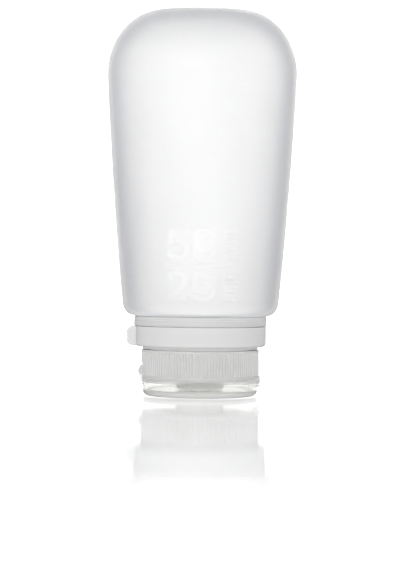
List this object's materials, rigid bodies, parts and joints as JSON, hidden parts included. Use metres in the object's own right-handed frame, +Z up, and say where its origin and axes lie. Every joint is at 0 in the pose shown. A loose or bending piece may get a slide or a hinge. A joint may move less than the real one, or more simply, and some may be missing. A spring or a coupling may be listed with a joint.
{
  "type": "travel squeeze bottle",
  "caption": "Soft silicone travel bottle standing on its ribbed screw cap, with a clear flip lid, slit valve nozzle and a hinged hanging loop on the collar.",
  "frame": {"origin": "centre of the flip lid's flat standing face, under the bottle's axis", "axes": "+Z up through the closed end, +X to the right seen from the front, -Y to the front with the hinged half of the loop"},
  "size_m": [0.0642, 0.0522, 0.1308],
  "materials": {
    "body_silicone": "frosted translucent silicone",
    "collar_plastic": "natural translucent, satin",
    "loop_plastic": "natural translucent, satin",
    "cap_plastic": "natural translucent, ribbed",
    "lid_clear": "clear, polished",
    "valve_silicone": "soft frosted silicone",
    "retainer_plastic": "satin",
    "pin_steel": "plain drawn wire"
  },
  "bodies": {
    "bottle": {"squeeze_body": "body_silicone", "collar": "collar_plastic", "loop_hinge_pin": "pin_steel"},
    "loop": {"loop_arm": "loop_plastic"},
    "valve_carrier": {"nozzle_valve": "valve_silicone", "valve_retainer": "retainer_plastic"},
    "cap": {"screw_cap": "cap_plastic", "lid_hinge_pin": "pin_steel"},
    "lid": {"flip_lid": "lid_clear"}
  },
  "joints": [
    {"name": "loop_open", "type": "hinge", "parent": "bottle", "child": "loop", "pos_m": [0.02105, 0, 0.0201], "axis": [0, 0, 1], "range_deg": [0, 110]},
    {"name": "cap_rise", "type": "slide", "parent": "bottle", "child": "valve_carrier", "axis": [0, 0, -1], "range_m": [0, 0.00841]},
    {"name": "cap_turn", "type": "hinge", "parent": "valve_carrier", "child": "cap", "pos_m": [0, 0, 0.0107], "axis": [0, 0, -1], "range_deg": [0, 720]},
    {"name": "lid_flip", "type": "hinge", "parent": "cap", "child": "lid", "pos_m": [-0.01955, 0, 0.00865], "axis": [0, 1, 0], "range_deg": [0, 145]}
  ],
  "couplings": [
    {"joint": "cap_rise", "follows": "cap_turn", "m_per_rad": 0.00066845}
  ]
}
